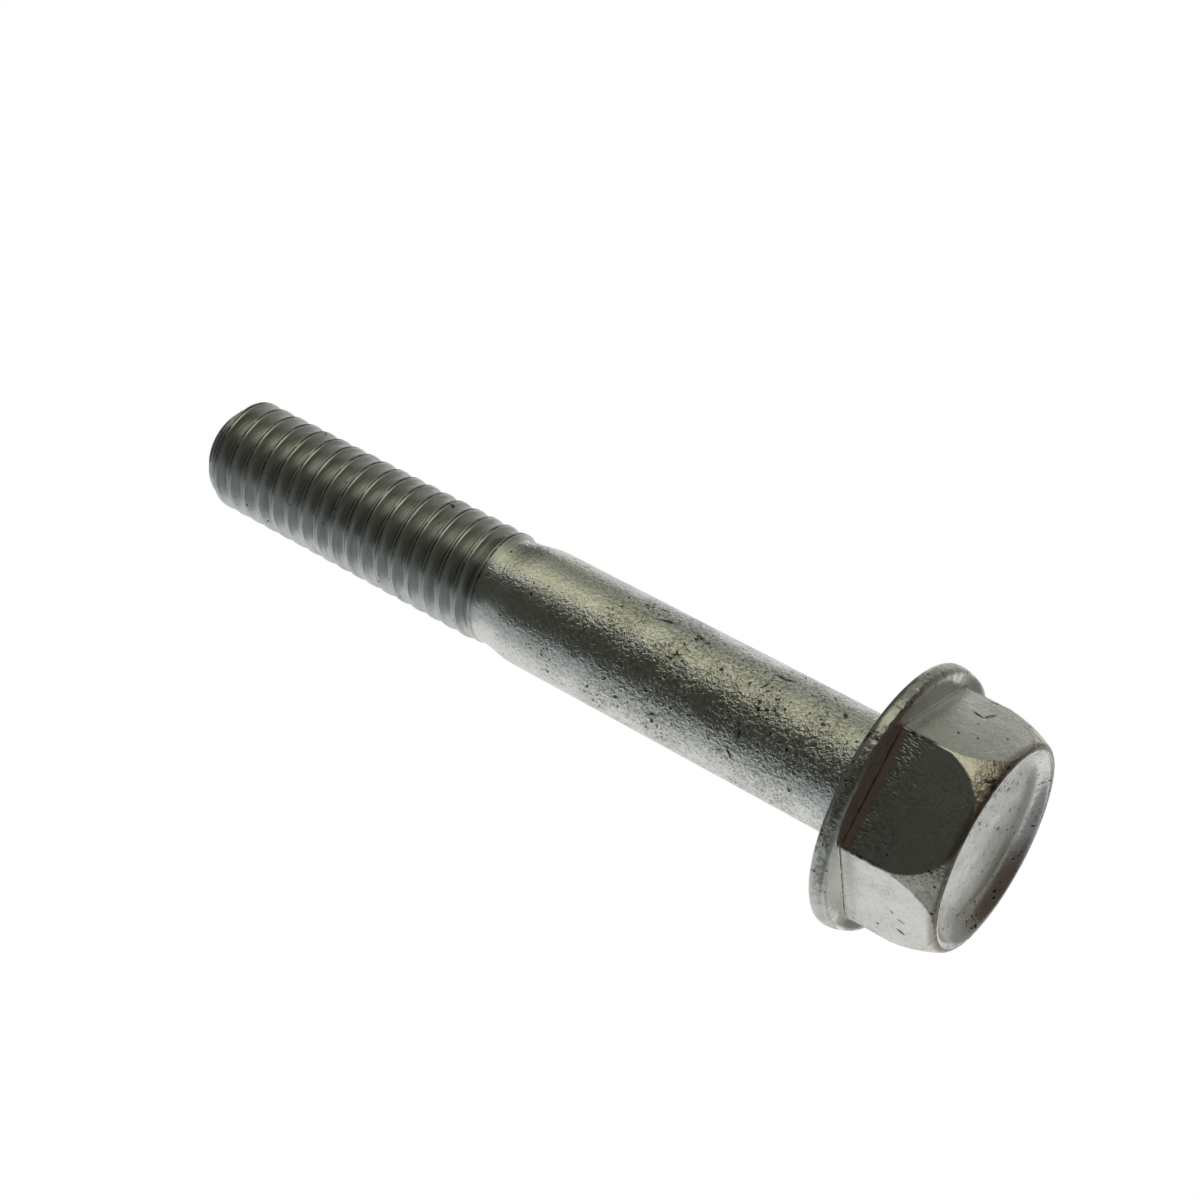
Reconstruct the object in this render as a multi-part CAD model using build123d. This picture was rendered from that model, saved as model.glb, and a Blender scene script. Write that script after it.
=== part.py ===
from build123d import *
from math import cos, hypot, pi, radians, sin, sqrt, tan
import os

# Flange bolt, M6 x 1 x 40: hex head, flange, plain shank and thread forged and rolled
# from one length of steel wire.  It stands on the lip of its head with the tip up:
# the axis is Z and the crest of the lip lies in z = 0.  Lengths in millimetres.

# Hex head
ACROSS_FLATS = 10.0        # spanner size
HEAD_HEIGHT = 5.8          # crest of the lip to the bearing face
CROWN_RADIUS = 6.0         # dome that takes the corners off the end of the hex
LIP_INSET = 0.93           # hex corners in to the crest of the lip round the recess
LIP_OUTER_RADIUS = 0.4     # rounding of the lip out to the dome
LIP_INNER_RADIUS = 0.3     # and in to the recess
RECESS_DEPTH = 0.65        # dished recess in the end of the head
RECESS_WALL_RADIUS = 1.2   # curve from the recess floor up to the lip
FOOT_RADIUS = 0.15         # fillet where the flats run into the flange

# Flange
LEDGE_WIDTH = 0.23         # flat ring that the die leaves beyond the hex corners
LEDGE_HEIGHT = 1.1         # bearing face to the flat ring
WIDEST_HEIGHT = 0.6        # bearing face to the widest line of the rim
RIM_RADIUS = 0.42          # rounding of the rim from that line towards the bearing face
BEVEL_ANGLE = 20           # degrees, shallow cone between that rounding and the bearing face

# Shank and thread
SHANK_D = 6.0
SHANK_FILLET = 0.3         # under the head
LENGTH = 40.0              # bearing face to the tip
THREAD_LENGTH = 18.0
CREST_DROP = 0.09          # shank in to the thread's crests; its helix is left plain here
NECK_DROP = 0.25           # shank in to the waist where the thread runs out
NECK_LENGTH = 0.5
RUNOUT_LENGTH = 1.6        # cone from the waist up to the full shank
TIP_CHAMFER = 0.9          # 45 degree chamfer of the tip
TIP_RADIUS = 0.3           # rounding between that chamfer and the flat end

HEX_CORNER_R = ACROSS_FLATS / 2 / cos(pi / 6)
LEDGE_R = HEX_CORNER_R + LEDGE_WIDTH
FLANGE_R = LEDGE_R + LEDGE_HEIGHT - WIDEST_HEIGHT
LEDGE_Z = HEAD_HEIGHT - LEDGE_HEIGHT


def arc_about(centre, start, end):
    """The shorter arc about centre from start to end, both given as (r, z)."""
    (cr, cz), (sr, sz), (er, ez) = centre, start, end
    radius = hypot(sr - cr, sz - cz)
    mid_r, mid_z = (sr + er) / 2 - cr, (sz + ez) / 2 - cz
    stretch = radius / hypot(mid_r, mid_z)
    return ThreePointArc(start, (cr + mid_r * stretch, cz + mid_z * stretch), end)


def between(a, b, share):
    """The point that lies at this share of the way from a to b."""
    return a[0] + (b[0] - a[0]) * share, a[1] + (b[1] - a[1]) * share


def turned(outline):
    """Solid of revolution about Z from a closed outline in (r, z)."""
    return revolve(Plane.XZ * make_face(outline), Axis.Z)


def head_end():
    """Round blank whose lower end has the dome, the lip and the dished recess."""
    crest = (HEX_CORNER_R - LIP_INSET, 0)
    inner = (crest[0], LIP_INNER_RADIUS)
    outer = (crest[0], LIP_OUTER_RADIUS)
    # The wall of the recess touches the lip's inner rounding from outside it.
    reach = RECESS_WALL_RADIUS + LIP_INNER_RADIUS
    floor_r = crest[0] - sqrt(RECESS_DEPTH * (2 * reach - RECESS_DEPTH))
    wall = (floor_r, RECESS_DEPTH - RECESS_WALL_RADIUS)
    wall_meets_lip = between(inner, wall, LIP_INNER_RADIUS / reach)
    # The dome holds the outer rounding inside it and ends upright at the hex corners.
    reach = CROWN_RADIUS - LIP_OUTER_RADIUS
    dome_r = HEX_CORNER_R - CROWN_RADIUS
    dome = (dome_r, LIP_OUTER_RADIUS + sqrt(reach ** 2 - (crest[0] - dome_r) ** 2))
    lip_meets_dome = between(dome, outer, CROWN_RADIUS / reach)

    shoulder = (HEX_CORNER_R, dome[1])
    return turned([
        Line((0, RECESS_DEPTH), (floor_r, RECESS_DEPTH)),
        arc_about(wall, (floor_r, RECESS_DEPTH), wall_meets_lip),
        arc_about(inner, wall_meets_lip, crest),
        arc_about(outer, crest, lip_meets_dome),
        arc_about(dome, lip_meets_dome, shoulder),
        # From there up the blank stands clear of the hex.
        Line(shoulder, (FLANGE_R, dome[1])),
        Polyline((FLANGE_R, dome[1]), (FLANGE_R, HEAD_HEIGHT), (0, HEAD_HEIGHT), (0, RECESS_DEPTH)),
    ])


def hexagon():
    """Hexagonal bar from z = 0 up to the flat ring of the flange."""
    return extrude(RegularPolygon(radius=HEX_CORNER_R, side_count=6), LEDGE_Z)


def flange():
    """Disc with a rounded rim, flat round the hex and bevelled towards its bearing face."""
    widest = HEAD_HEIGHT - WIDEST_HEIGHT
    slope = radians(BEVEL_ANGLE)
    rim = (FLANGE_R - RIM_RADIUS, widest)
    rim_meets_bevel = (rim[0] + RIM_RADIUS * sin(slope), rim[1] + RIM_RADIUS * cos(slope))
    bearing_r = rim_meets_bevel[0] - (HEAD_HEIGHT - rim_meets_bevel[1]) / tan(slope)
    return turned([
        Line((0, LEDGE_Z), (LEDGE_R, LEDGE_Z)),
        arc_about((LEDGE_R, widest), (LEDGE_R, LEDGE_Z), (FLANGE_R, widest)),
        arc_about(rim, (FLANGE_R, widest), rim_meets_bevel),
        Polyline(rim_meets_bevel, (bearing_r, HEAD_HEIGHT), (0, HEAD_HEIGHT), (0, LEDGE_Z)),
    ])


def shank():
    """Plain shank, run-out cone, waist and threaded stretch with a chamfered tip."""
    shank_r = SHANK_D / 2
    neck_r = shank_r - NECK_DROP
    crest_r = shank_r - CREST_DROP
    tip = HEAD_HEIGHT + LENGTH
    thread_start = tip - THREAD_LENGTH
    neck_start = thread_start - NECK_LENGTH
    outline = Polyline(
        (0, HEAD_HEIGHT),
        (shank_r, HEAD_HEIGHT),
        (shank_r, neck_start - RUNOUT_LENGTH),
        (neck_r, neck_start),
        (neck_r, thread_start),
        (crest_r, thread_start + crest_r - neck_r),
        (crest_r, tip - TIP_CHAMFER),
        (crest_r - TIP_CHAMFER, tip),
        (0, tip),
        close=True,
    )
    bar = turned(outline)
    return fillet(bar.edges().group_by(Axis.Z)[-1], TIP_RADIUS)


def flange_bolt():
    """The whole forging, with its fillets under the head and round the foot of the hex."""
    bolt = flange() + shank()
    root = bolt.edges().filter_by_position(Axis.Z, HEAD_HEIGHT, HEAD_HEIGHT).sort_by(SortBy.RADIUS)[0]
    bolt = fillet(root, SHANK_FILLET)
    bolt += hexagon() & head_end()
    foot = bolt.edges().filter_by_position(Axis.Z, LEDGE_Z, LEDGE_Z).filter_by(GeomType.LINE)
    return fillet(foot, FOOT_RADIUS)


os.makedirs("parts", exist_ok=True)
export_step(flange_bolt(), "parts/flange_bolt.step")
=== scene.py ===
from math import atan2, cos, hypot, pi, radians, sin, sqrt, tan

import bpy
from mathutils import Matrix, Vector


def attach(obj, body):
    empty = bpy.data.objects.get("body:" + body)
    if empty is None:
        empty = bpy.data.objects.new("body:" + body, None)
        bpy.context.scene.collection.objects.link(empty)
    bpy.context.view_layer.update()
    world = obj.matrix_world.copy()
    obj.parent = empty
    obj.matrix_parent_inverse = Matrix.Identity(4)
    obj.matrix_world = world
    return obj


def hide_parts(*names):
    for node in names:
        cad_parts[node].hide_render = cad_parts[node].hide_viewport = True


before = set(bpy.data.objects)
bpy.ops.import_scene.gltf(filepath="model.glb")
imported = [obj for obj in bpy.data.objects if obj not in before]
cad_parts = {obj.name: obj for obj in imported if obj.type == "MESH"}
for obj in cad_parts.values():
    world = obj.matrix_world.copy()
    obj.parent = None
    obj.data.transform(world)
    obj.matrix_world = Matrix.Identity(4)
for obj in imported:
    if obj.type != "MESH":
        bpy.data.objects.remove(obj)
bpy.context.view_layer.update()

# ---- Head -------------------------------------------------------------------------
# The bolt is one length of steel wire, cold-forged, rolled and plated with zinc.  Its hex
# head has six pressed flats, a dome that takes the corners off, and a dished recess inside
# a rounded lip.  It is modelled in mm, standing on the lip, and made metres at the end.

ACROSS_FLATS = 10.0      # spanner size
HEAD_HEIGHT = 5.8        # crest of the lip to the bearing face
LEDGE_HEIGHT = 1.1       # bearing face to the flat ring that the hex stands on
CROWN_RADIUS = 6.0       # dome that takes the corners off
CORNER_RADIUS = 0.15     # rounding between two flats
LIP_INSET = 0.93         # hex corners in to the crest of the lip
LIP_RADIUS = 0.3
RECESS_DEPTH = 0.65
RECESS_WALL_RADIUS = 1.2
DISH_DEPTH = 0.16        # how much deeper the recess is in its middle
EDGE_WEAR = 0.06         # rounding of the edges between flats and dome
FOOT_STRETCH = 0.5       # end of each flat that leans out towards the flange
FOOT_LEAN = 0.08         # how far it leans out
FOOT_SUNK = 0.05         # how far the lean goes on below the flat ring
FOOT_STEPS = 6
ROUND_STEPS = 256        # sides of whatever is turned
POLE_R = 0.2             # disc from which a turned body is pulled
BLANK_SPARE = 0.1        # what the turned blank has beyond the hex corners, cut off later
BLANK_TAPER = 0.4        # height over which the blank widens by that
WELD_DEPTH = 0.5         # how far the head reaches into the flange
SLIVER = 0.006           # corners that are closer than this become one
ON_FLAT = 0.003          # this near to a flat's plane is on it
STEEP = radians(16)      # edges with a sharper fold than this are worn round
HEX_CORNER_R = ACROSS_FLATS / 2 / cos(pi / 6)
LEDGE_Z = HEAD_HEIGHT - LEDGE_HEIGHT
SIDE_TURNS = [radians(30 + 60 * side) for side in range(6)]


def arc(centre, start, end, steps):
    """Points (r, z) on the shorter arc about centre from start to end, both included."""
    radius = hypot(start[0] - centre[0], start[1] - centre[1])
    first = atan2(start[1] - centre[1], start[0] - centre[0])
    sweep = (atan2(end[1] - centre[1], end[0] - centre[0]) - first + pi) % (2 * pi) - pi
    turns = [first + sweep * i / steps for i in range(steps + 1)]
    return [(centre[0] + radius * cos(t), centre[1] + radius * sin(t)) for t in turns]


def along(a, b, share):
    """The point (r, z) at this share of the way from a to b."""
    return a[0] + (b[0] - a[0]) * share, a[1] + (b[1] - a[1]) * share


def turned(name, rings):
    """A closed round body: the disc at the first (r, z) is pulled from ring to ring."""
    bpy.ops.object.select_all(action="DESELECT")
    r, z = rings[0]
    bpy.ops.mesh.primitive_circle_add(vertices=ROUND_STEPS, radius=r, fill_type="NGON", location=(0, 0, z))
    body = bpy.context.object
    body.name = name
    bpy.ops.object.transform_apply(location=True)
    bpy.ops.object.mode_set(mode="EDIT")
    for next_r, next_z in rings[1:]:
        bpy.ops.mesh.extrude_region_move(TRANSFORM_OT_translate={"value": (0, 0, next_z - z)})
        bpy.ops.transform.resize(value=(next_r / r, next_r / r, 1), center_override=(0, 0, next_z))
        r, z = next_r, next_z
    bpy.ops.mesh.select_all(action="SELECT")
    bpy.ops.mesh.normals_make_consistent(inside=False)
    bpy.ops.object.mode_set(mode="OBJECT")
    return body


def round_edges(body, chosen, width, segments):
    """Bevels the edges of body for which chosen(edge, its two ends) is true."""
    bpy.ops.object.select_all(action="DESELECT")
    body.select_set(True)
    bpy.context.view_layer.objects.active = body
    bpy.ops.object.mode_set(mode="EDIT")
    bpy.ops.mesh.select_mode(type="EDGE")
    bpy.ops.mesh.select_all(action="DESELECT")
    bpy.ops.object.mode_set(mode="OBJECT")
    points = body.data.vertices
    for edge in body.data.edges:
        edge.select = chosen(edge, *[points[v].co for v in edge.vertices])
    bpy.ops.object.mode_set(mode="EDIT")
    bpy.ops.mesh.bevel(offset=width, segments=segments, affect="EDGES", clamp_overlap=False)
    bpy.ops.object.mode_set(mode="OBJECT")


# The wall of the recess and the dome both run into the rounding of the lip.
crest = (HEX_CORNER_R - LIP_INSET, 0)
lip = (crest[0], LIP_RADIUS)
reach = RECESS_WALL_RADIUS + LIP_RADIUS
floor_r = crest[0] - sqrt(RECESS_DEPTH * (2 * reach - RECESS_DEPTH))
wall = (floor_r, RECESS_DEPTH - RECESS_WALL_RADIUS)
wall_meets_lip = along(lip, wall, LIP_RADIUS / reach)
reach = CROWN_RADIUS - LIP_RADIUS
dome_r = HEX_CORNER_R - CROWN_RADIUS
dome = (dome_r, LIP_RADIUS + sqrt(reach ** 2 - (crest[0] - dome_r) ** 2))
lip_meets_dome = along(dome, lip, CROWN_RADIUS / reach)
blank_r = HEX_CORNER_R + BLANK_SPARE
head_top = LEDGE_Z + WELD_DEPTH

head = turned("head", [
    (POLE_R, head_top),
    (blank_r, head_top),
    (blank_r, dome[1] + BLANK_TAPER),
    *arc(dome, (HEX_CORNER_R, dome[1]), lip_meets_dome, 24),
    *arc(lip, lip_meets_dome, crest, 6)[1:],
    *arc(lip, crest, wall_meets_lip, 6)[1:],
    *arc(wall, wall_meets_lip, (floor_r, RECESS_DEPTH), 8)[1:],
    *[(floor_r * ring / 10, RECESS_DEPTH + DISH_DEPTH * (1 - (ring / 10) ** 2)) for ring in range(9, 0, -1)],
])

# Six cuts leave the flats, and five narrow ones round off each corner between them.
corner_centre = (ACROSS_FLATS / 2 - CORNER_RADIUS) / cos(pi / 6)
cuts = [(turn, ACROSS_FLATS / 2) for turn in SIDE_TURNS]
for side in range(6):
    for lean in (-20, -10, 0, 10, 20):
        cuts.append((radians(60 * side + lean), corner_centre * cos(radians(lean)) + CORNER_RADIUS))
bpy.ops.object.mode_set(mode="EDIT")
for turn, reach in cuts:
    outward = Vector((cos(turn), sin(turn), 0))
    bpy.ops.mesh.select_all(action="SELECT")
    bpy.ops.mesh.bisect(plane_co=outward * reach, plane_no=outward, use_fill=True, clear_outer=True)
bpy.ops.object.mode_set(mode="OBJECT")

# The cuts leave the points in no fixed order, so they are sorted before slivers are merged:
# then every run merges the same ones.  The place that they are sorted from is off the axis.
for point in head.data.vertices:
    point.co = [round(span, 4) for span in point.co]
bpy.context.scene.cursor.location = (7, 3, -5)
bpy.ops.object.mode_set(mode="EDIT")
bpy.ops.mesh.select_all(action="SELECT")
bpy.ops.mesh.sort_elements(type="CURSOR_DISTANCE", elements={"VERT"})
bpy.ops.mesh.remove_doubles(threshold=SLIVER)
bpy.ops.object.mode_set(mode="OBJECT")

# The edges between flats and dome are worn round.
normals_at = {}
for polygon in head.data.polygons:
    for key in polygon.edge_keys:
        normals_at.setdefault(key, []).append(polygon.normal.copy())
steep = {key for key, pair in normals_at.items() if len(pair) == 2 and pair[0].angle(pair[1]) > STEEP}


def on_flat(p):
    """True where p lies in the plane of a flat."""
    return any(abs(p.x * cos(turn) + p.y * sin(turn) - ACROSS_FLATS / 2) < ON_FLAT for turn in SIDE_TURNS)


def ends_a_flat(edge, a, b):
    """True for a steep edge of a flat, apart from those at the head's inner end."""
    below_top = max(a.z, b.z) < head_top - 0.1
    return tuple(sorted(edge.vertices)) in steep and on_flat(a) and on_flat(b) and below_top


round_edges(head, ends_a_flat, EDGE_WEAR, 3)

# The foot of each flat leans out along its last stretch.
foot_end = LEDGE_Z + FOOT_SUNK
bpy.ops.object.mode_set(mode="EDIT")
for step in range(FOOT_STEPS + 1):
    bpy.ops.mesh.select_all(action="SELECT")
    bpy.ops.mesh.bisect(plane_co=(0, 0, foot_end - FOOT_STRETCH * step / FOOT_STEPS), plane_no=(0, 0, 1))
bpy.ops.object.mode_set(mode="OBJECT")
for point in head.data.vertices:
    share = min(max((point.co.z - foot_end) / FOOT_STRETCH + 1, 0), 1)
    point.co.x *= 1 + share ** 2 * FOOT_LEAN / (ACROSS_FLATS / 2)
    point.co.y *= 1 + share ** 2 * FOOT_LEAN / (ACROSS_FLATS / 2)

MM = 0.001               # materials read the finished bolt's coordinates, in metres
CLOUD = 1.7              # mm, patches in which the grain and the tone come and go
SPECK_SUNK = 0.01        # mm
HOLLOW_GREY = "#77746B"
SPECK_BROWN = "#4C463C"


def linear(code):
    """The linear colour of an sRGB hex code."""
    shares = [int(code[i:i + 2], 16) / 255 for i in (1, 3, 5)]
    return (*[s / 12.92 if s <= 0.04045 else ((s + 0.055) / 1.055) ** 2.4 for s in shares], 1)


def add_node(tree, kind, inputs={}, **settings):
    """Adds a node with its settings; each input is a value, or a socket to link."""
    node = tree.nodes.new("ShaderNode" + kind)
    for name, value in settings.items():
        setattr(node, name, value)
    for name, value in inputs.items():
        if isinstance(value, bpy.types.NodeSocket):
            tree.links.new(value, node.inputs[name])
        else:
            node.inputs[name].default_value = value
    return node


def zinc_plate(name, bright, dull, grain, grain_lift, hollow_depth, wave, wave_lift, speck, level, gloss):
    """Zinc electroplated on forged steel, a soft grey metal with a pebbled grain that has
    darker hollows, slow waves of the steel below, and sunken dark specks, which are fewer
    at a higher level.  Sizes and lifts are in mm; the crystals of real zinc plate are far
    finer, so the grain is drawn as coarse as it needs to show."""
    finish = bpy.data.materials.new(name)
    finish.use_nodes = True
    tree = finish.node_tree
    shader = tree.nodes["Principled BSDF"]
    shader.inputs["Metallic"].default_value = 1
    place = add_node(tree, "TexCoord").outputs["Object"]
    cloud = add_node(tree, "TexNoise", {"Vector": place, "Scale": 1 / (CLOUD * MM), "Detail": 3}).outputs[0]
    pebble = add_node(tree, "TexNoise", {"Vector": place, "Scale": 1 / (grain * MM), "Detail": 2,
                                         "Distortion": 0.6}).outputs[0]
    swell = add_node(tree, "TexNoise", {"Vector": place, "Scale": 1 / (wave * MM), "Detail": 1}).outputs[0]
    fleck = add_node(tree, "TexNoise", {"Vector": place, "Scale": 1 / (speck * MM), "Detail": 1}).outputs[0]

    # Relief: the grain comes and goes with the patches, and specks keep to some of them.
    uneven = add_node(tree, "MapRange", {"Value": cloud, "From Min": 0.36, "From Max": 0.56,
                                         "To Min": 0.45, "To Max": 1})
    lift = add_node(tree, "Math", {0: uneven.outputs[0], 1: grain_lift}, operation="MULTIPLY").outputs[0]
    rough = add_node(tree, "Math", {0: pebble, 1: lift}, operation="MULTIPLY").outputs[0]
    waved = add_node(tree, "Math", {0: swell, 1: wave_lift, 2: rough}, operation="MULTIPLY_ADD").outputs[0]
    fleck = add_node(tree, "Math", {0: cloud, 1: 0.5, 2: fleck}, operation="MULTIPLY_ADD").outputs[0]
    specks = add_node(tree, "MapRange", {"Value": fleck, "From Min": level + 0.25,
                                         "From Max": level + 0.31}).outputs[0]
    height = add_node(tree, "Math", {0: specks, 1: -SPECK_SUNK, 2: waved},
                      operation="MULTIPLY_ADD").outputs[0]
    bump = add_node(tree, "Bump", {"Height": height, "Distance": MM}).outputs[0]
    tree.links.new(bump, shader.inputs["Normal"])

    # Colour: bright and dull patches, then the hollows of the grain, then the specks.
    hollow = add_node(tree, "MapRange", {"Value": pebble, "From Min": 0.54, "From Max": 0.36,
                                         "To Max": hollow_depth}).outputs[0]
    hollow = add_node(tree, "Math", {0: hollow, 1: uneven.outputs[0]}, operation="MULTIPLY").outputs[0]
    tone = add_node(tree, "Mix", {0: cloud, 6: linear(bright), 7: linear(dull)}, data_type="RGBA").outputs[2]
    for share, colour in ((hollow, HOLLOW_GREY), (specks, SPECK_BROWN)):
        tone = add_node(tree, "Mix", {0: share, 6: tone, 7: linear(colour)}, data_type="RGBA").outputs[2]
    tree.links.new(tone, shader.inputs["Base Color"])
    worn = add_node(tree, "MapRange", {"Value": cloud, "From Min": 0.3, "From Max": 0.7,
                                       "To Min": gloss, "To Max": gloss + 0.08})
    tree.links.new(worn.outputs[0], shader.inputs["Roughness"])
    return finish, tree, shader, place, uneven


def knocks(tree, place, out, marks):
    """One in the dents and nought elsewhere, on a surface this far out from the axis.  A
    mark is which way the surface faces in degrees, how far aside and how high it is in mm,
    its slant in degrees, and half its length and half its width in mm."""
    worst = None
    for facing, aside, height, slant, length, width in marks:
        turn = radians(facing)
        middle = (out * cos(turn) - aside * sin(turn), out * sin(turn) + aside * cos(turn), height)
        near = add_node(tree, "Mapping", {
            "Vector": place,
            "Location": [span * MM for span in middle],
            "Rotation": (radians(slant), 0, turn),
            "Scale": (1 * MM, length * MM, width * MM),
        }, vector_type="TEXTURE").outputs[0]
        away = add_node(tree, "VectorMath", {0: near}, operation="LENGTH").outputs["Value"]
        dent = add_node(tree, "MapRange", {"Value": away, "From Min": 1, "From Max": 0.5}).outputs[0]
        if worst is None:
            worst = dent
        else:
            worst = add_node(tree, "Math", {0: worst, 1: dent}, operation="MAXIMUM").outputs[0]
    return worst


# Flats: zinc-electroplated steel that the die pressed smooth, so the eye gets an even,
# fine-grained grey, with knocks, dirty corners and a stain next to the lip.  The front
# flat, which faces -Y, has fine strokes along the axis and a painted pink reflection at its foot.
STROKE = (0.1, 1.0, 0.28)     # mm across, deep and long; real ones are too fine to show
STROKE_SLANT = 6              # degrees off the axis
STROKE_PATCH = 1.1            # mm
STROKE_RELIEF = 0.085         # of a dent's depth
STROKE_DIRT = 0.45            # of what a dent holds
DENT_DEPTH = 0.12             # mm
DIRT_BREAK = 0.45             # mm, gaps in the lines of dirt
# Painted reflection: the pink given to the foot of the front flat.
PAINTED_REFLECTION_PINK = "#C9A79F"
LIP_STAIN = "#6E5F57"
# Dirt at the corners and in the dents, and painted shade in the crease.
DIRT_AND_SHADE_BROWN = "#37322C"
flats, tree, shader, place, _ = zinc_plate(
    "zinc_plate_on_flats", bright="#D0D2CE", dull="#B8B9B2", grain=0.16, grain_lift=0.02, hollow_depth=0.3,
    wave=1.3, wave_lift=0.02, speck=0.34, level=0.78, gloss=0.25)
parts = add_node(tree, "SeparateXYZ", {0: place})
sideways, forward, high = parts.outputs["X"], parts.outputs["Y"], parts.outputs["Z"]

# Strokes: in patches between dome and crease, and faint on all flats but the front one.
slanted = add_node(tree, "Mapping", {
    "Vector": place,
    "Rotation": (0, radians(STROKE_SLANT), 0),
    "Scale": [size * MM for size in STROKE],
}, vector_type="TEXTURE").outputs[0]
strokes = add_node(tree, "TexNoise", {"Vector": slanted, "Scale": 1, "Detail": 1}).outputs[0]
strokes = add_node(tree, "MapRange", {"Value": strokes, "From Min": 0.42, "From Max": 0.62}).outputs[0]
patches = add_node(tree, "TexNoise", {"Vector": place, "Scale": 1 / (STROKE_PATCH * MM),
                                      "Detail": 2}).outputs[0]
patches = add_node(tree, "MapRange", {"Value": patches, "From Min": 0.36, "From Max": 0.52}).outputs[0]
near_foot = add_node(tree, "MapRange", {"Value": high, "From Min": 2.2 * MM, "From Max": 4.0 * MM}).outputs[0]
below_crease = add_node(tree, "MapRange", {"Value": high, "From Min": 4.5 * MM,
                                           "From Max": 4.2 * MM}).outputs[0]
on_front = add_node(tree, "MapRange", {"Value": forward, "From Min": -4.5 * MM, "From Max": -4.9 * MM,
                                       "To Min": 0.15}).outputs[0]
for mask in (near_foot, below_crease, patches, on_front):
    strokes = add_node(tree, "Math", {0: strokes, 1: mask}, operation="MULTIPLY").outputs[0]
dents = knocks(tree, place, ACROSS_FLATS / 2, [
    (-30, 1.02, 3.02, 74, 0.36, 0.13), (-30, 1.36, 2.57, -17, 0.48, 0.12), (-30, -0.88, 2.05, 0, 0.09, 0.09),
    (-30, -1.2, 2.83, 60, 0.13, 0.07), (-30, 0.27, 1.17, 0, 0.08, 0.08), (210, -0.54, 1.71, 80, 0.22, 0.07),
    (210, -1.43, 1.73, 70, 0.24, 0.10), (210, -0.16, 2.17, 20, 0.12, 0.06), (90, 0.9, 2.6, 35, 0.40, 0.08),
    (30, -1.0, 3.1, 65, 0.30, 0.06), (150, 0.4, 1.9, -25, 0.22, 0.09),
])
height = add_node(tree, "Math", {0: strokes, 1: STROKE_RELIEF, 2: dents}, operation="MULTIPLY_ADD").outputs[0]
bump = add_node(tree, "Bump", {"Height": height, "Distance": -DENT_DEPTH * MM,
                               "Normal": shader.inputs["Normal"].links[0].from_socket})
tree.links.new(bump.outputs[0], shader.inputs["Normal"])

# Dirt at the corners: there the two widest of the three spans across the hex are equal,
# and twice the widest, plus the least, less all three is what they differ by.
across = []
for turn in SIDE_TURNS[:3]:
    span = add_node(tree, "VectorMath", {0: place, 1: (cos(turn), sin(turn), 0)}, operation="DOT_PRODUCT")
    across.append(add_node(tree, "Math", {0: span.outputs["Value"]}, operation="ABSOLUTE").outputs[0])
spans = {}
for rule in ("MAXIMUM", "MINIMUM", "ADD"):
    pair = add_node(tree, "Math", {0: across[0], 1: across[1]}, operation=rule).outputs[0]
    spans[rule] = add_node(tree, "Math", {0: pair, 1: across[2]}, operation=rule).outputs[0]
inward = add_node(tree, "Math", {0: spans["MAXIMUM"], 1: -2, 2: spans["ADD"]},
                  operation="MULTIPLY_ADD").outputs[0]
inward = add_node(tree, "Math", {0: spans["MINIMUM"], 1: inward}, operation="SUBTRACT").outputs[0]
corner = add_node(tree, "MapRange", {"Value": inward, "From Min": 0.13 * MM,
                                     "From Max": 0.03 * MM}).outputs[0]
above_dome = add_node(tree, "MapRange", {"Value": high, "From Min": 2.6 * MM,
                                         "From Max": 3.0 * MM}).outputs[0]
corner = add_node(tree, "Math", {0: corner, 1: above_dome}, operation="MULTIPLY").outputs[0]

# Painted shade in the crease, on one side only, and dirt in the dents; all of it in broken lines.
crease = add_node(tree, "MapRange", {"Value": high, "From Min": 4.59 * MM, "From Max": 4.65 * MM}).outputs[0]
painted_shade_side = add_node(tree, "MapRange", {"Value": sideways, "From Min": 4.0 * MM,
                                         "From Max": 2.5 * MM}).outputs[0]
crease = add_node(tree, "Math", {0: crease, 1: painted_shade_side}, operation="MULTIPLY").outputs[0]
broken = add_node(tree, "TexNoise", {"Vector": place, "Scale": 1 / (DIRT_BREAK * MM), "Detail": 2}).outputs[0]
broken = add_node(tree, "MapRange", {"Value": broken, "From Min": 0.35, "From Max": 0.55,
                                     "To Min": 0.25, "To Max": 0.9}).outputs[0]
dirt_and_shade = add_node(tree, "Math", {0: corner, 1: crease}, operation="MAXIMUM").outputs[0]
dirt_and_shade = add_node(tree, "Math", {0: dirt_and_shade, 1: dents}, operation="MAXIMUM").outputs[0]
dirt_and_shade = add_node(tree, "Math", {0: dirt_and_shade, 1: broken}, operation="MULTIPLY").outputs[0]
dirt_and_shade = add_node(tree, "Math", {0: strokes, 1: STROKE_DIRT, 2: dirt_and_shade}, operation="MULTIPLY_ADD",
                use_clamp=True).outputs[0]

# Painted reflection: pink at the foot of the front flat; and the stain next to the lip.
painted_pink_reflection = add_node(tree, "MapRange", {"Value": high, "From Min": 4.1 * MM, "From Max": 4.5 * MM,
                                    "To Max": 0.85}).outputs[0]
front_only = add_node(tree, "MapRange", {"Value": forward, "From Min": -4.88 * MM,
                                         "From Max": -4.96 * MM}).outputs[0]
painted_pink_reflection = add_node(tree, "Math", {0: painted_pink_reflection, 1: front_only}, operation="MULTIPLY").outputs[0]
stain = add_node(tree, "MapRange", {"Value": high, "From Min": 0.46 * MM, "From Max": 0.22 * MM,
                                    "To Max": 0.65}).outputs[0]
tone = shader.inputs["Base Color"].links[0].from_socket
for share, colour in ((painted_pink_reflection, PAINTED_REFLECTION_PINK), (stain, LIP_STAIN), (dirt_and_shade, DIRT_AND_SHADE_BROWN)):
    tone = add_node(tree, "Mix", {0: share, 6: tone, 7: linear(colour)}, data_type="RGBA").outputs[2]
tree.links.new(tone, shader.inputs["Base Color"])
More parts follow.
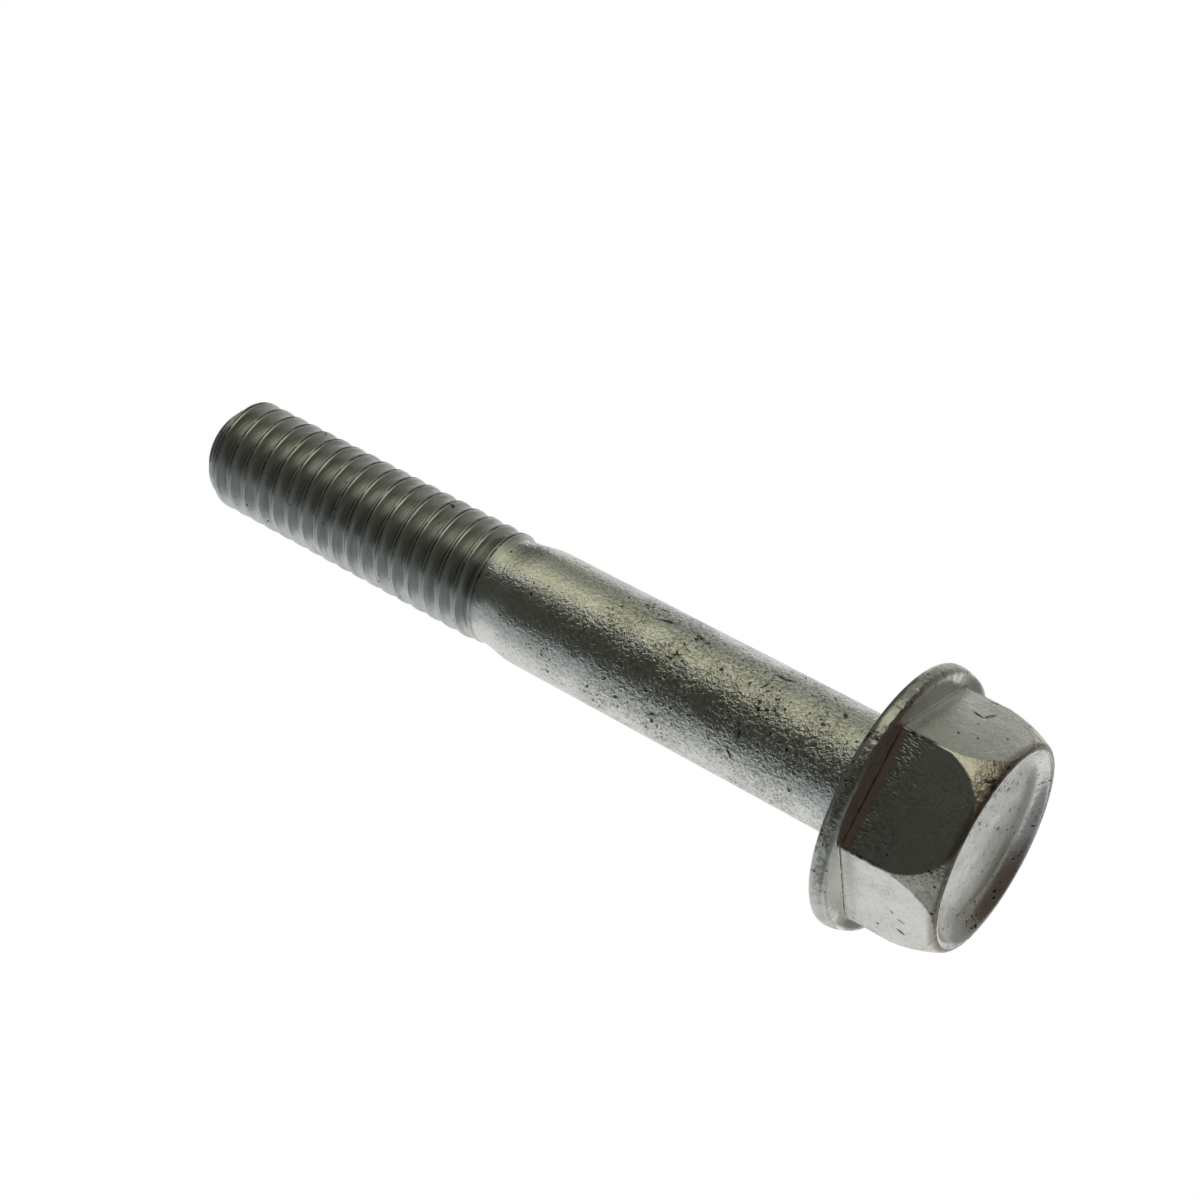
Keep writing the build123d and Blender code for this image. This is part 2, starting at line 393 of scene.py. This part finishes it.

# Crown: zinc-electroplated steel with the rough skin of the forging, so the eye gets a
# coarse, mottled grain with rusty patches, and it turns darker and browner at the crest of the lip.
RUST = 0.7                    # mm
RUST_BROWN = "#8E7664"
LIP_CREST_BROWN = "#6F6056"
crown, tree, shader, place, _ = zinc_plate(
    "zinc_plate_on_crown", bright="#D6D4C8", dull="#B4B2A7", grain=0.24, grain_lift=0.05, hollow_depth=0.5,
    wave=0.8, wave_lift=0.03, speck=0.36, level=0.66, gloss=0.29)
rust = add_node(tree, "TexNoise", {"Vector": place, "Scale": 1 / (RUST * MM), "Detail": 4,
                                   "Roughness": 0.7}).outputs[0]
rust = add_node(tree, "MapRange", {"Value": rust, "From Min": 0.56, "From Max": 0.72,
                                   "To Max": 0.6}).outputs[0]
high = add_node(tree, "SeparateXYZ", {0: place}).outputs["Z"]
# Darker and browner towards the crest of the lip.
lip_crest_tint = add_node(tree, "MapRange", {"Value": high, "From Min": 0.22 * MM, "From Max": 0.08 * MM,
                                       "To Max": 0.75}).outputs[0]
tone = shader.inputs["Base Color"].links[0].from_socket
for share, colour in ((rust, RUST_BROWN), (lip_crest_tint, LIP_CREST_BROWN)):
    tone = add_node(tree, "Mix", {0: share, 6: tone, 7: linear(colour)}, data_type="RGBA").outputs[2]
tree.links.new(tone, shader.inputs["Base Color"])

# Recess: zinc-electroplated steel that the punch pressed, so the eye gets a pale, smooth
# floor with small pits.
recess, *_ = zinc_plate(
    "zinc_plate_in_recess", bright="#D8D9D4", dull="#C4C6C4", grain=0.16, grain_lift=0.014, hollow_depth=0.25,
    wave=1.8, wave_lift=0.02, speck=0.22, level=0.69, gloss=0.25)
for finish in (flats, crown, recess):
    head.data.materials.append(finish)
# The recess lies inside the crest of the lip, and the dome is what faces down outside it.
for polygon in head.data.polygons:
    centre = polygon.center
    if hypot(centre.x, centre.y) < crest[0] and centre.z < 1:
        polygon.material_index = 2
    elif polygon.normal.z < -0.12 and centre.z < 3:
        polygon.material_index = 1

# ---- Flange and shank ---------------------------------------------------------------
# Forged in one blow with the head, from the same steel: a disc with a rounded rim,
# bevelled towards its flat bearing face, and the plain shank with a fillet under the head.

LEDGE_WIDTH = 0.23       # flat ring that the die leaves beyond the hex corners
WIDEST_HEIGHT = 0.6      # bearing face to the widest line of the rim
RIM_FULLNESS = 0.75      # 1 makes the rim a quarter ellipse, less makes it fuller
RIM_STEPS = 12
RIM_RADIUS = 0.42        # rounding from that line towards the bearing face
BEVEL_ANGLE = 20         # degrees
THICKER_BY = 0.42        # what the flange has more on one side
FOOT_CREASE = 0.04       # rounding where the flats meet the flange
SHANK_R = 3.0
SHANK_FILLET = 0.3
SHANK_STEP = 0.35        # length of one ring of faces
SHANK_END = 24.9         # height at which the thread's mesh takes over
LENGTH = 40.0            # bearing face to the tip
ledge_r = HEX_CORNER_R + LEDGE_WIDTH
flange_r = ledge_r + LEDGE_HEIGHT - WIDEST_HEIGHT
widest = HEAD_HEIGHT - WIDEST_HEIGHT
slope = radians(BEVEL_ANGLE)
rim = (flange_r - RIM_RADIUS, widest)
rim_meets_bevel = (rim[0] + RIM_RADIUS * sin(slope), rim[1] + RIM_RADIUS * cos(slope))
bearing_r = rim_meets_bevel[0] - (HEAD_HEIGHT - rim_meets_bevel[1]) / tan(slope)
root = (SHANK_R + SHANK_FILLET, HEAD_HEIGHT + SHANK_FILLET)
steps = round((SHANK_END - root[1]) / SHANK_STEP)
rim_turns = [pi / 2 * step / RIM_STEPS for step in range(RIM_STEPS + 1)]


def ease(x, x0, y0, x1, y1):
    """The value at x on the soft step from y0 at x0 to y1 at x1, level beyond both."""
    share = min(max((x - x0) / (x1 - x0), 0), 1)
    return y0 + (y1 - y0) * share ** 2 * (3 - 2 * share)


# Two rings on the flat ring's plane keep its faces even where the head is united with it.
flange = turned("flange", [
    (POLE_R, LEDGE_Z),
    (3.0, LEDGE_Z),
    (ledge_r - 0.07, LEDGE_Z),
    *[(ledge_r + (flange_r - ledge_r) * sin(turn) ** RIM_FULLNESS,
       widest - (widest - LEDGE_Z) * max(cos(turn), 0) ** RIM_FULLNESS) for turn in rim_turns],
    *arc(rim, (flange_r, widest), rim_meets_bevel, 8)[1:],
    (bearing_r, HEAD_HEIGHT),
    *arc(root, (root[0], HEAD_HEIGHT), (SHANK_R, root[1]), 6),
    *[(SHANK_R, root[1] + (SHANK_END - root[1]) * i / steps) for i in range(1, steps + 1)],
])

# Flange: zinc-electroplated steel whose rim ran free of the die, so the eye gets a skin
# wrinkled across its edge in places and cratered in others, with grime.  Where the
# flange is thin, the die has coined its flat ring bright.
WRINKLE = (0.09, 0.25)        # mm across and down; real ones are finer, too fine to show
CRATER = 0.5                  # mm
SKIN_PATCH = 2.5              # mm
SKIN_LIFT = 0.026             # mm
GRIME = 0.9                   # mm
GRIME_BROWN = "#857A6E"
COINED_WHITE = "#EEECE6"
rim_finish, tree, shader, place, uneven = zinc_plate(
    "zinc_plate_on_flange", bright="#BFC1BC", dull="#A3A39E", grain=0.2, grain_lift=0.045, hollow_depth=0.7,
    wave=0.6, wave_lift=0.04, speck=0.3, level=0.68, gloss=0.27)
parts = add_node(tree, "SeparateXYZ", {0: place})
high = parts.outputs["Z"]
turn = add_node(tree, "Math", {0: parts.outputs["Y"], 1: parts.outputs["X"]}, operation="ARCTAN2")
round_rim = add_node(tree, "Math", {0: turn.outputs[0], 1: flange_r / WRINKLE[0]}, operation="MULTIPLY")
down = add_node(tree, "Math", {0: high, 1: 1 / (WRINKLE[1] * MM)}, operation="MULTIPLY")
unrolled = add_node(tree, "CombineXYZ", {0: round_rim.outputs[0], 1: down.outputs[0]}).outputs[0]
wrinkles = add_node(tree, "TexNoise", {"Vector": unrolled, "Scale": 1, "Detail": 1,
                                       "Distortion": 0.8}).outputs[0]
craters = add_node(tree, "TexVoronoi", {"Vector": place, "Scale": 1 / (CRATER * MM), "Smoothness": 0.4},
                   feature="SMOOTH_F1").outputs["Distance"]
craters = add_node(tree, "MapRange", {"Value": craters, "From Min": 0.18, "From Max": 0.42}).outputs[0]
patches = add_node(tree, "TexNoise", {"Vector": place, "Scale": 1 / (SKIN_PATCH * MM),
                                      "Detail": 1}).outputs[0]
patches = add_node(tree, "MapRange", {"Value": patches, "From Min": 0.4, "From Max": 0.6}).outputs[0]
skin = add_node(tree, "Mix", {0: patches, 2: wrinkles, 3: craters}).outputs[0]
skin = add_node(tree, "Math", {0: skin, 1: 0.5}, operation="SUBTRACT").outputs[0]

# The band between the flat ring and the bevel has all of this; elsewhere even the grain fades.
past_ledge = add_node(tree, "MapRange", {"Value": high, "From Min": 4.78 * MM,
                                         "From Max": 4.92 * MM}).outputs[0]
before_bevel = add_node(tree, "MapRange", {"Value": high, "From Min": 5.38 * MM,
                                           "From Max": 5.22 * MM}).outputs[0]
band = add_node(tree, "Math", {0: past_ledge, 1: before_bevel}, operation="MULTIPLY").outputs[0]
skin = add_node(tree, "Math", {0: skin, 1: band}, operation="MULTIPLY").outputs[0]
fade = add_node(tree, "MapRange", {"Value": band, "To Min": 0.2, "To Max": 1}).outputs[0]
tree.links.new(fade, uneven.inputs["To Max"])
uneven.inputs["To Min"].default_value = 0.2
bump = add_node(tree, "Bump", {"Height": skin, "Distance": SKIN_LIFT * MM,
                               "Normal": shader.inputs["Normal"].links[0].from_socket})
tree.links.new(bump.outputs[0], shader.inputs["Normal"])
grime = add_node(tree, "TexNoise", {"Vector": place, "Scale": 1 / (GRIME * MM), "Detail": 4,
                                    "Roughness": 0.7}).outputs[0]
grime = add_node(tree, "MapRange", {"Value": grime, "From Min": 0.5, "From Max": 0.7,
                                    "To Max": 0.7}).outputs[0]
grime = add_node(tree, "Math", {0: grime, 1: band}, operation="MULTIPLY").outputs[0]
coined = add_node(tree, "MapRange", {"Value": high, "From Min": 4.74 * MM, "From Max": 4.71 * MM,
                                     "To Max": 0.7}).outputs[0]
thin_side = add_node(tree, "MapRange", {"Value": high, "From Min": 4.55 * MM,
                                        "From Max": 4.66 * MM}).outputs[0]
coined = add_node(tree, "Math", {0: coined, 1: thin_side}, operation="MULTIPLY").outputs[0]
tone = shader.inputs["Base Color"].links[0].from_socket
for share, colour in ((grime, GRIME_BROWN), (coined, COINED_WHITE)):
    tone = add_node(tree, "Mix", {0: share, 6: tone, 7: linear(colour)}, data_type="RGBA").outputs[2]
tree.links.new(tone, shader.inputs["Base Color"])

# Shank: zinc-electroplated steel wire as it was drawn, so the eye gets the strongest grain
# here, with nicks and scuffs.  The grain fades towards the stretch that was rolled.
NICK_DEPTH = 0.03             # mm
RAGGED = 0.2                  # mm, breaks in a nick's edge
NICK_BROWN = "#4A453D"
shank_finish, tree, shader, place, uneven = zinc_plate(
    "zinc_plate_on_shank", bright="#D1D3CF", dull="#C0C1B9", grain=0.17, grain_lift=0.08, hollow_depth=0.7,
    wave=1.0, wave_lift=0.03, speck=0.25, level=0.70, gloss=0.23)
high = add_node(tree, "SeparateXYZ", {0: place}).outputs["Z"]
fade = add_node(tree, "MapRange", {"Value": high, "From Min": 18.5 * MM, "From Max": 26.2 * MM,
                                   "To Min": 1, "To Max": 0.2}).outputs[0]
tree.links.new(fade, uneven.inputs["To Max"])
nicks = knocks(tree, place, SHANK_R, [
    (-125, 0, 12.2, 39, 0.36, 0.08), (-43, 0, 8.25, 28, 0.30, 0.14), (-37, 0, 11.7, -82, 0.60, 0.18),
    (-41, 0, 18.1, -70, 0.65, 0.18), (-41, 0, 16.1, 75, 0.70, 0.17), (-127, 0, 16.5, -60, 0.20, 0.10),
    (-130, 0, 18.6, -60, 0.22, 0.10), (-91, 0, 16.5, 0, 0.11, 0.11), (-104, 0, 12.0, 10, 0.34, 0.07),
    (-129, 0, 8.9, 0, 0.14, 0.12), (-73, 0, 11.0, 43, 0.30, 0.08), (35, 0, 14.6, 60, 0.45, 0.10),
    (80, 0, 20.3, -35, 0.35, 0.11), (150, 0, 10.4, 20, 0.40, 0.10),
])
bump = add_node(tree, "Bump", {"Height": nicks, "Distance": -NICK_DEPTH * MM,
                               "Normal": shader.inputs["Normal"].links[0].from_socket})
tree.links.new(bump.outputs[0], shader.inputs["Normal"])
ragged = add_node(tree, "TexNoise", {"Vector": place, "Scale": 1 / (RAGGED * MM), "Detail": 2}).outputs[0]
ragged = add_node(tree, "MapRange", {"Value": ragged, "From Min": 0.33, "From Max": 0.5}).outputs[0]
ragged = add_node(tree, "Math", {0: ragged, 1: nicks}, operation="MULTIPLY").outputs[0]
tone = add_node(tree, "Mix", {0: ragged, 6: shader.inputs["Base Color"].links[0].from_socket,
                              7: linear(NICK_BROWN)}, data_type="RGBA").outputs[2]
tree.links.new(tone, shader.inputs["Base Color"])
for finish in (rim_finish, shank_finish):
    flange.data.materials.append(finish)
for polygon in flange.data.polygons:
    polygon.material_index = int(polygon.center.z > HEAD_HEIGHT + 0.01)

# The head is united with the flange, and the crease between them is rounded.
bpy.ops.object.select_all(action="DESELECT")
flange.select_set(True)
bpy.context.view_layer.objects.active = flange
weld = flange.modifiers.new("head", "BOOLEAN")
weld.operation = "UNION"
weld.solver = "EXACT"
weld.material_mode = "TRANSFER"
weld.object = head
bpy.ops.object.modifier_apply(modifier=weld.name)
bpy.data.objects.remove(head)


def at_crease(edge, a, b):
    """True for an edge where the hexagon meets the flat ring."""
    return all(abs(p.z - LEDGE_Z) < 0.002 and hypot(p.x, p.y) < HEX_CORNER_R + 0.09 for p in (a, b))


round_edges(flange, at_crease, FOOT_CREASE, 2)

# On one side the metal filled the die further, so the flange is thicker there.  The change
# fades in round the flange, and along the flats and the rim on both sides of the flat ring.
# The recess and the shank lie within 4 mm of the axis.
for point in flange.data.vertices:
    r, z = hypot(point.co.x, point.co.y), point.co.z
    if 4 < r and z < widest:
        side = ease(point.co.y / r, -0.15, 0, 0.35, 1)
        point.co.z -= THICKER_BY * side * min(ease(z, 3.0, 0, 4.5, 1), ease(z, 4.75, 1, widest, 0))

# ---- Thread -------------------------------------------------------------------------
# M6 x 1, rolled between two dies into the end of the same wire: rounded crests that keep
# the fine seam where the metal met, a chamfered tip, and a run-out with a waist and a cone.

PITCH = 1.0
CREST_R = 2.91
ROOT_R = 2.40
SEAM_DEPTH = 0.015
CREST_Z = 27.88          # height of a crest on the +X side
SPARE_TURNS = 5          # turns of the helix below that crest, trimmed off
TURNS = 25
TURN_STEPS = 128
THREAD_START = 27.3      # the waist, where the thread grows out of the wire
NECK_R = 2.75
RUNOUT_START = 25.3      # where the full shank ends
CREST_FADE = 0.5         # stretch over which the crests rise
ROOT_FADE = 1.6          # stretch over which the roots sink
JOIN_GAP = 0.15          # between the shank's last ring and the thread's first, bridged later
CORE_R = 1.5             # the chamfer's cone is followed down to here
TIP_Z = HEAD_HEIGHT + LENGTH
TIP_CHAMFER = 0.9
TIP_RADIUS = 0.3
HELIX_SEAM = 0.0005      # turns that touch become one within this
TIP_SLIVER = 0.004       # and the narrow faces of the tip within this

# One turn of the thread, from root to root, as (r, z): a round root, a straight flank at
# nearly 30 degrees, a round crest and its seam.
half = [(ROOT_R, 0.5), (ROOT_R + 0.015, 0.44), (ROOT_R + 0.06, 0.385), (CREST_R - 0.075, 0.18),
        (CREST_R - 0.03, 0.145), (CREST_R - 0.008, 0.11), (CREST_R, 0.07), (CREST_R - 0.004, 0.03)]
profile = [(r, -z) for r, z in half] + [(CREST_R - SEAM_DEPTH, 0)] + half[::-1]
first_z = CREST_Z - SPARE_TURNS * PITCH
bpy.ops.object.select_all(action="DESELECT")
bpy.ops.mesh.primitive_plane_add(size=1, location=(0, 0, 0))
thread = bpy.context.object
thread.name = "thread"
bpy.ops.object.mode_set(mode="EDIT")
bpy.ops.mesh.select_mode(type="VERT")
bpy.ops.mesh.select_all(action="SELECT")
bpy.ops.mesh.merge(type="CENTER")
bpy.ops.mesh.select_all(action="SELECT")
bpy.ops.transform.translate(value=(profile[0][0], 0, first_z + profile[0][1]))
for (r, z), (next_r, next_z) in zip(profile, profile[1:]):
    bpy.ops.mesh.extrude_vertices_move(TRANSFORM_OT_translate={"value": (next_r - r, 0, next_z - z)})
bpy.ops.object.mode_set(mode="OBJECT")
helix = thread.modifiers.new("helix", "SCREW")
helix.axis = "Z"
helix.steps = helix.render_steps = TURN_STEPS
helix.screw_offset = PITCH
helix.iterations = TURNS
helix.use_merge_vertices = True
bpy.ops.object.modifier_apply(modifier=helix.name)
bpy.ops.object.mode_set(mode="EDIT")
bpy.ops.mesh.select_all(action="SELECT")
bpy.ops.mesh.remove_doubles(threshold=HELIX_SEAM)
bpy.ops.object.mode_set(mode="OBJECT")

# The helix is held between a floor and a ceiling, which make the run-out and the chamfer.
for point in thread.data.vertices:
    r, z = hypot(point.co.x, point.co.y), point.co.z
    waist = ease(z, RUNOUT_START, SHANK_R, THREAD_START, NECK_R)
    floor = ease(z, THREAD_START, waist, THREAD_START + ROOT_FADE, ROOT_R)
    ceiling = ease(z, THREAD_START, waist, THREAD_START + CREST_FADE, CREST_R)
    ceiling = min(ceiling, max(CREST_R - (z - TIP_Z + TIP_CHAMFER), CORE_R))
    held = min(max(r, floor), ceiling)
    point.co.x *= held / r
    point.co.y *= held / r

# Both ends are cut square, and the tip is closed by a small round and a flat.
end_r = CREST_R - TIP_CHAMFER - TIP_RADIUS * tan(pi / 8)
tip_centre = (end_r, TIP_Z - TIP_RADIUS)
tip_start = (end_r + TIP_RADIUS * sin(pi / 4), TIP_Z - TIP_RADIUS * (1 - cos(pi / 4)))
tip_rings = arc(tip_centre, tip_start, (end_r, TIP_Z), 4)
bpy.ops.object.mode_set(mode="EDIT")
bpy.ops.mesh.select_all(action="SELECT")
bpy.ops.mesh.bisect(plane_co=(0, 0, SHANK_END + JOIN_GAP), plane_no=(0, 0, 1), clear_inner=True)
bpy.ops.mesh.select_all(action="SELECT")
bpy.ops.mesh.bisect(plane_co=(0, 0, tip_start[1]), plane_no=(0, 0, 1), use_fill=True, clear_outer=True)
bpy.ops.mesh.select_mode(type="FACE")
bpy.ops.object.mode_set(mode="OBJECT")
for polygon in thread.data.polygons:
    # Only the face that closes the cut has more than a few corners.
    polygon.select = len(polygon.vertices) > 20
bpy.ops.object.mode_set(mode="EDIT")
for (r, z), (next_r, next_z) in zip(tip_rings, tip_rings[1:]):
    bpy.ops.mesh.extrude_region_move(TRANSFORM_OT_translate={"value": (0, 0, next_z - z)})
    bpy.ops.transform.resize(value=(next_r / r, next_r / r, 1), center_override=(0, 0, next_z))
bpy.ops.mesh.select_all(action="SELECT")
bpy.ops.mesh.remove_doubles(threshold=TIP_SLIVER)
bpy.ops.mesh.normals_make_consistent(inside=False)
bpy.ops.object.mode_set(mode="OBJECT")

# Thread: zinc-electroplated steel, burnished by the rolling dies, so the eye gets a smooth,
# darker gleam with streaks along the helix.  Painted shade, partly dirt, lies in the seam and
# the roots, more of it on one side, and the square end of the tip is left without it.
STREAK = (2.5, 2.5, 0.09)     # mm round and along the axis; real ones are too fine to show
STREAK_LIFT = 0.02            # mm
SEAM_BREAK = 0.5              # mm, gaps in the dirt of the seam
STREAK_GREY = "#85857F"
# Painted shade, partly dirt, in the seam and the roots.
THREAD_SHADE_AND_DIRT = "#403B35"
thread_finish, tree, shader, place, _ = zinc_plate(
    "zinc_plate_on_thread", bright="#C3C7C5", dull="#B1B4AF", grain=0.2, grain_lift=0.008, hollow_depth=0.1,
    wave=1.0, wave_lift=0.01, speck=0.26, level=0.76, gloss=0.31)
parts = add_node(tree, "SeparateXYZ", {0: place})
sideways, high = parts.outputs["X"], parts.outputs["Z"]

# How far a point is from the nearest crest, in pitches: 0 on the crest and 0.5 in the root.
turn = add_node(tree, "Math", {0: parts.outputs["Y"], 1: sideways}, operation="ARCTAN2").outputs[0]
start = add_node(tree, "Math", {0: turn, 1: -1 / (2 * pi), 2: -CREST_Z / PITCH},
                 operation="MULTIPLY_ADD").outputs[0]
turns = add_node(tree, "Math", {0: high, 1: 1 / (PITCH * MM), 2: start}, operation="MULTIPLY_ADD").outputs[0]
off_crest = add_node(tree, "Math", {0: turns, 1: 0.5}, operation="PINGPONG").outputs[0]
# Painted shade, partly dirt: darker in the seam and the roots.
seam = add_node(tree, "MapRange", {"Value": off_crest, "From Min": 0.06, "From Max": 0.03}).outputs[0]
in_root = add_node(tree, "MapRange", {"Value": off_crest, "From Min": 0.38, "From Max": 0.47,
                                      "To Max": 0.6}).outputs[0]
broken = add_node(tree, "TexNoise", {"Vector": place, "Scale": 1 / (SEAM_BREAK * MM), "Detail": 2}).outputs[0]
broken = add_node(tree, "MapRange", {"Value": broken, "From Min": 0.35, "From Max": 0.5,
                                     "To Min": 0.45, "To Max": 1}).outputs[0]
dirt_and_shade = add_node(tree, "Math", {0: seam, 1: broken}, operation="MULTIPLY").outputs[0]
dirt_and_shade = add_node(tree, "Math", {0: dirt_and_shade, 1: in_root}, operation="MAXIMUM").outputs[0]
painted_shade_side = add_node(tree, "MapRange", {"Value": sideways, "From Min": -1.8 * MM, "From Max": 0.2 * MM,
                                         "To Min": 0.25}).outputs[0]
before_end = add_node(tree, "MapRange", {"Value": high, "From Min": 45.5 * MM,
                                         "From Max": 45.2 * MM}).outputs[0]
for mask in (painted_shade_side, before_end):
    dirt_and_shade = add_node(tree, "Math", {0: dirt_and_shade, 1: mask}, operation="MULTIPLY").outputs[0]
drawn_out = add_node(tree, "Mapping", {"Vector": place, "Scale": [size * MM for size in STREAK]},
                     vector_type="TEXTURE").outputs[0]
streaks = add_node(tree, "TexNoise", {"Vector": drawn_out, "Scale": 1, "Detail": 2}).outputs[0]
bump = add_node(tree, "Bump", {"Height": streaks, "Distance": STREAK_LIFT * MM,
                               "Normal": shader.inputs["Normal"].links[0].from_socket})
tree.links.new(bump.outputs[0], shader.inputs["Normal"])
streaks = add_node(tree, "MapRange", {"Value": streaks, "From Min": 0.5, "From Max": 0.35,
                                      "To Max": 0.35}).outputs[0]
tone = shader.inputs["Base Color"].links[0].from_socket
for share, colour in ((streaks, STREAK_GREY), (dirt_and_shade, THREAD_SHADE_AND_DIRT)):
    tone = add_node(tree, "Mix", {0: share, 6: tone, 7: linear(colour)}, data_type="RGBA").outputs[2]
tree.links.new(tone, shader.inputs["Base Color"])
for finish in (shank_finish, thread_finish):
    thread.data.materials.append(finish)
for polygon in thread.data.polygons:
    polygon.material_index = int(polygon.center.z > THREAD_START + 0.1)

# The shank opens and meets the first ring of the thread, and the whole bolt is one mesh.
bpy.ops.object.select_all(action="DESELECT")
flange.select_set(True)
bpy.context.view_layer.objects.active = flange
bpy.ops.object.mode_set(mode="EDIT")
bpy.ops.mesh.select_mode(type="FACE")
bpy.ops.mesh.select_all(action="DESELECT")
bpy.ops.object.mode_set(mode="OBJECT")
for polygon in flange.data.polygons:
    polygon.select = polygon.center.z > SHANK_END - 0.001
bpy.ops.object.mode_set(mode="EDIT")
bpy.ops.mesh.delete(type="ONLY_FACE")
bpy.ops.object.mode_set(mode="OBJECT")
thread.select_set(True)
bpy.ops.object.join()
bolt = bpy.context.object
bolt.name = "forged_bolt"
bpy.ops.object.mode_set(mode="EDIT")
bpy.ops.mesh.select_mode(type="EDGE")
bpy.ops.mesh.select_all(action="DESELECT")
bpy.ops.mesh.select_non_manifold()
bpy.ops.mesh.bridge_edge_loops()
bpy.ops.mesh.select_all(action="SELECT")
bpy.ops.mesh.normals_make_consistent(inside=False)
bpy.ops.transform.resize(value=(MM, MM, MM), center_override=(0, 0, 0))
bpy.ops.object.mode_set(mode="OBJECT")
bpy.ops.object.shade_smooth_by_angle(angle=radians(40))
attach(bolt, "root")
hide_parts("flange_bolt")

# ---- Studio -------------------------------------------------------------------------
# A pale paper floor under white light from all round, with grey and dark cards that
# only the metal mirrors.  The floor is seen from above and is clear from below.

FLOOR_SIZE = 40                       # metres
PAPER_WHITE = "#F7F7F7"
BOLT_MIDDLE = Vector((0, 0, 0.02))    # what the cards face

bpy.ops.object.select_all(action="DESELECT")
bpy.ops.mesh.primitive_plane_add(size=FLOOR_SIZE, location=(0, 0, 0))
floor_sheet = bpy.context.object
floor_sheet.name = "floor"
paper = bpy.data.materials.new("pale_paper")
paper.use_nodes = True
tree = paper.node_tree
shader = tree.nodes["Principled BSDF"]
shader.inputs["Base Color"].default_value = linear(PAPER_WHITE)
shader.inputs["Roughness"].default_value = 1
shader.inputs["Specular IOR Level"].default_value = 0
seen = add_node(tree, "LightPath").outputs["Is Camera Ray"]
from_below = add_node(tree, "NewGeometry").outputs["Backfacing"]
shown = add_node(tree, "Math", {0: seen, 1: from_below}, operation="SUBTRACT", use_clamp=True).outputs[0]
clear = add_node(tree, "BsdfTransparent").outputs[0]
sheet = add_node(tree, "MixShader", {0: shown, 1: clear, 2: shader.outputs[0]}).outputs[0]
tree.links.new(sheet, tree.nodes["Material Output"].inputs["Surface"])
floor_sheet.data.materials.append(paper)


def card(name, toward, distance, width, height, colour):
    """A glowing card, in metres, that faces the bolt from the direction toward and is seen
    only in its metal."""
    bpy.ops.object.select_all(action="DESELECT")
    toward = Vector(toward).normalized()
    bpy.ops.mesh.primitive_plane_add(size=1, location=BOLT_MIDDLE + toward * distance,
                                     rotation=toward.to_track_quat("Z", "Y").to_euler())
    board = bpy.context.object
    board.name = name
    board.scale = (width, height, 1)
    board.visible_camera = board.visible_shadow = board.visible_diffuse = False
    glow = bpy.data.materials.new(name)
    glow.use_nodes = True
    shader = glow.node_tree.nodes["Principled BSDF"]
    shader.inputs["Base Color"].default_value = (0, 0, 0, 1)
    shader.inputs["Roughness"].default_value = 1
    shader.inputs["Specular IOR Level"].default_value = 0
    shader.inputs["Emission Color"].default_value = linear(colour)
    shader.inputs["Emission Strength"].default_value = 1
    board.data.materials.append(glow)


card("dark_front", (-0.16, -0.97, 0.0), 0.45, 0.86, 3.0, "#45463F")
card("dark_below", (0.47, -0.15, -0.87), 0.25, 0.435, 0.50, "#544842")
card("dark_above", (0.15, 0.2, 0.97), 0.25, 0.36, 0.42, "#5A5D5D")
card("warm_above", (0.68, -0.33, 0.65), 0.24, 0.08, 0.12, "#D9D7B6")
card("grey_below", (-0.62, 0.02, -0.78), 0.25, 0.20, 0.44, "#868A8B")
card("grey_back_below", (0.0, 0.75, -0.66), 0.25, 0.20, 0.14, "#96968F")
card("grey_back_side", (0.62, 0.62, -0.45), 0.26, 0.20, 0.16, "#95968F")
card("warm_low", (0.82, -0.54, -0.20), 0.24, 0.13, 0.14, "#FBF9E0")
card("warm_high", (0.79, -0.56, 0.40), 0.24, 0.115, 0.18, "#EFEDCF")
card("grey_side", (0.97, 0.1, 0.05), 0.5, 0.62, 1.3, "#9DA095")
card("pale_side", (-0.93, -0.30, 0.1), 0.5, 0.34, 1.6, "#BCC2C5")

world = bpy.data.worlds.new("studio")
bpy.context.scene.world = world
world.use_nodes = True
sky = world.node_tree.nodes["Background"]
sky.inputs["Color"].default_value = (1, 1, 1, 1)
sky.inputs["Strength"].default_value = 1

# The camera looks up at the bolt's front from below its foot, rolled on its side.
camera_data = bpy.data.cameras.new("camera")
camera = bpy.data.objects.new("camera", camera_data)
bpy.context.scene.collection.objects.link(camera)
camera_data.lens = 69.645
camera_data.sensor_width = 36
camera_data.clip_start = 0.001
back = Vector((0.00397, -0.89244, -0.45114))
up = Vector((0.88816, -0.20417, 0.41170))
right = up.cross(back)
camera.matrix_world = Matrix((right, up, back)).transposed().to_4x4()
camera.location = Vector((2.136, -99.203, -27.406)) * MM
bpy.context.scene.camera = camera
bpy.context.scene.view_settings.view_transform = "Standard"
